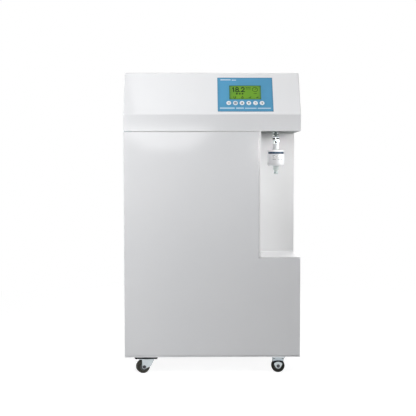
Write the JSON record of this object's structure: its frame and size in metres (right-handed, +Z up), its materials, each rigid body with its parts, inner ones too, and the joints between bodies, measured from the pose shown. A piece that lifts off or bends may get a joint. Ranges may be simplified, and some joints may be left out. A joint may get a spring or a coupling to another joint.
{
  "type": "ultrapure water system",
  "caption": "Floor-standing laboratory water purifier on casters, with an L-shaped door, an open dispensing bay, a slanted control panel and a final filter.",
  "frame": {"origin": "on the floor, midway between the sides and between the door's face and the rear fittings' ends", "axes": "+Z up; +X to the right and +Y to the back, seen from the front"},
  "size_m": [0.6, 0.58, 1.0345],
  "materials": {
    "white_powder_coat": "semi-gloss powder coat, cool white",
    "zinc_plate": "bright zinc plate",
    "galvanised_sheet": "plain galvanised sheet",
    "stainless_steel": "drawn stainless tube",
    "dark_steel": "black oxide",
    "brass_bush": "turned",
    "chrome": "polished chrome",
    "cast_head": "cast and machined",
    "motor_paint": "satin black paint",
    "tank_paint": "gloss white paint",
    "blue_film": "satin printed film, mid blue",
    "display_glass": "yellow-green lit display",
    "key_plastic": "satin white",
    "green_board": "solder mask",
    "dark_plastic": "black moulded",
    "white_plastic": "white moulded",
    "milky_plastic": "translucent white moulded",
    "clear_plastic": "clear, slightly green",
    "navy_plastic": "navy moulded",
    "bowl_plastic": "translucent moulded",
    "valve_body": "moulded body with wound coil",
    "blue_tube": "blue water tube",
    "white_tube": "white water tube",
    "black_tyre": "black tyre on a light core"
  },
  "bodies": {
    "cabinet": {"base_pan": "white_powder_coat", "bay_back_wall": "white_powder_coat", "bay_shelf": "white_powder_coat", "bay_side_wall": "white_powder_coat", "caster_bolts": "dark_steel", "control_board": "green_board", "dispense_bushing": "clear_plastic", "dispense_coupling": "chrome", "dispense_valve": "valve_body", "door_magnets": "dark_plastic", "equipment_plate": "galvanised_sheet", "filter_band": "navy_plastic", "filter_capsule": "milky_plastic", "filter_outlet": "clear_plastic", "head_floor": "white_powder_coat", "head_shell": "white_powder_coat", "holding_clips": "dark_plastic", "lcd_display": "display_glass", "left_side_panel": "white_powder_coat", "mains_inlet": "dark_plastic", "panel_overlay": "blue_film", "pivot_brackets": "zinc_plate", "polishing_columns": "white_plastic", "power_supply": "galvanised_sheet", "prefilter_bowl_1": "bowl_plastic", "prefilter_bowl_2": "bowl_plastic", "prefilter_bowl_3": "bowl_plastic", "prefilter_manifold": "white_plastic", "pressure_tank": "tank_paint", "pump_head": "cast_head", "pump_motor": "motor_paint", "pure_water_tubes": "white_tube", "raw_water_tubes": "blue_tube", "rear_fittings": "white_plastic", "rear_panel": "white_powder_coat", "rear_panel_screws": "zinc_plate", "right_side_panel": "white_powder_coat", "rigid_axles": "dark_steel", "rigid_forks": "zinc_plate", "ro_vessel": "white_plastic", "rocker_frame": "dark_plastic", "swivel_plates": "dark_steel", "uv_reactor": "stainless_steel"},
    "door": {"door_panel": "white_powder_coat", "door_sleeves": "brass_bush"},
    "control_key_1": {"control_key_1": "key_plastic"},
    "control_key_2": {"control_key_2": "key_plastic"},
    "control_key_3": {"control_key_3": "key_plastic"},
    "control_key_4": {"control_key_4": "key_plastic"},
    "control_key_5": {"control_key_5": "key_plastic"},
    "control_key_6": {"control_key_6": "key_plastic"},
    "rocker": {"rocker": "dark_plastic"},
    "front_swivel": {"swivel_fork_front": "zinc_plate", "swivel_axle_front": "dark_steel"},
    "front_swivel_wheel": {"swivel_wheel_front": "black_tyre"},
    "front_rigid_wheel": {"rigid_wheel_front": "black_tyre"},
    "rear_swivel": {"swivel_fork_rear": "zinc_plate", "swivel_axle_rear": "dark_steel"},
    "rear_swivel_wheel": {"swivel_wheel_rear": "black_tyre"},
    "rear_rigid_wheel": {"rigid_wheel_rear": "black_tyre"}
  },
  "joints": [
    {"name": "door_hinge", "type": "hinge", "parent": "cabinet", "child": "door", "pos_m": [-0.293, -0.281, 0.4455], "axis": [0, 0, -1], "range_deg": [0, 110]},
    {"name": "control_key_1_press", "type": "slide", "parent": "cabinet", "child": "control_key_1", "axis": [0, 0.8865, -0.4628], "range_m": [0, 0.0008], "stiffness_N_per_m": 1500},
    {"name": "control_key_2_press", "type": "slide", "parent": "cabinet", "child": "control_key_2", "axis": [0, 0.8865, -0.4628], "range_m": [0, 0.0008], "stiffness_N_per_m": 1500},
    {"name": "control_key_3_press", "type": "slide", "parent": "cabinet", "child": "control_key_3", "axis": [0, 0.8865, -0.4628], "range_m": [0, 0.0008], "stiffness_N_per_m": 1500},
    {"name": "control_key_4_press", "type": "slide", "parent": "cabinet", "child": "control_key_4", "axis": [0, 0.8865, -0.4628], "range_m": [0, 0.0008], "stiffness_N_per_m": 1500},
    {"name": "control_key_5_press", "type": "slide", "parent": "cabinet", "child": "control_key_5", "axis": [0, 0.8865, -0.4628], "range_m": [0, 0.0008], "stiffness_N_per_m": 1500},
    {"name": "control_key_6_press", "type": "slide", "parent": "cabinet", "child": "control_key_6", "axis": [0, 0.8865, -0.4628], "range_m": [0, 0.0008], "stiffness_N_per_m": 1500},
    {"name": "rocker_tilt", "type": "hinge", "parent": "cabinet", "child": "rocker", "pos_m": [-0.1825, 0.268, 0.1195], "axis": [1, 0, 0], "range_deg": [-16, 0]},
    {"name": "front_swivel_turn", "type": "hinge", "parent": "cabinet", "child": "front_swivel", "pos_m": [-0.2275, -0.256, 0.0495], "axis": [0, 0, 1], "continuous": true},
    {"name": "front_swivel_wheel_spin", "type": "hinge", "parent": "front_swivel", "child": "front_swivel_wheel", "pos_m": [-0.23947, -0.26108, 0.023], "axis": [0.3907, -0.9205, 0], "continuous": true},
    {"name": "front_rigid_wheel_spin", "type": "hinge", "parent": "cabinet", "child": "front_rigid_wheel", "pos_m": [0.2275, -0.256, 0.023], "axis": [0, 1, 0], "continuous": true},
    {"name": "rear_swivel_turn", "type": "hinge", "parent": "cabinet", "child": "rear_swivel", "pos_m": [-0.2275, 0.236, 0.0495], "axis": [0, 0, 1], "continuous": true},
    {"name": "rear_swivel_wheel_spin", "type": "hinge", "parent": "rear_swivel", "child": "rear_swivel_wheel", "pos_m": [-0.23955, 0.24087, 0.023], "axis": [-0.3746, -0.9272, 0], "continuous": true},
    {"name": "rear_rigid_wheel_spin", "type": "hinge", "parent": "cabinet", "child": "rear_rigid_wheel", "pos_m": [0.2275, 0.236, 0.023], "axis": [0, 1, 0], "continuous": true}
  ]
}
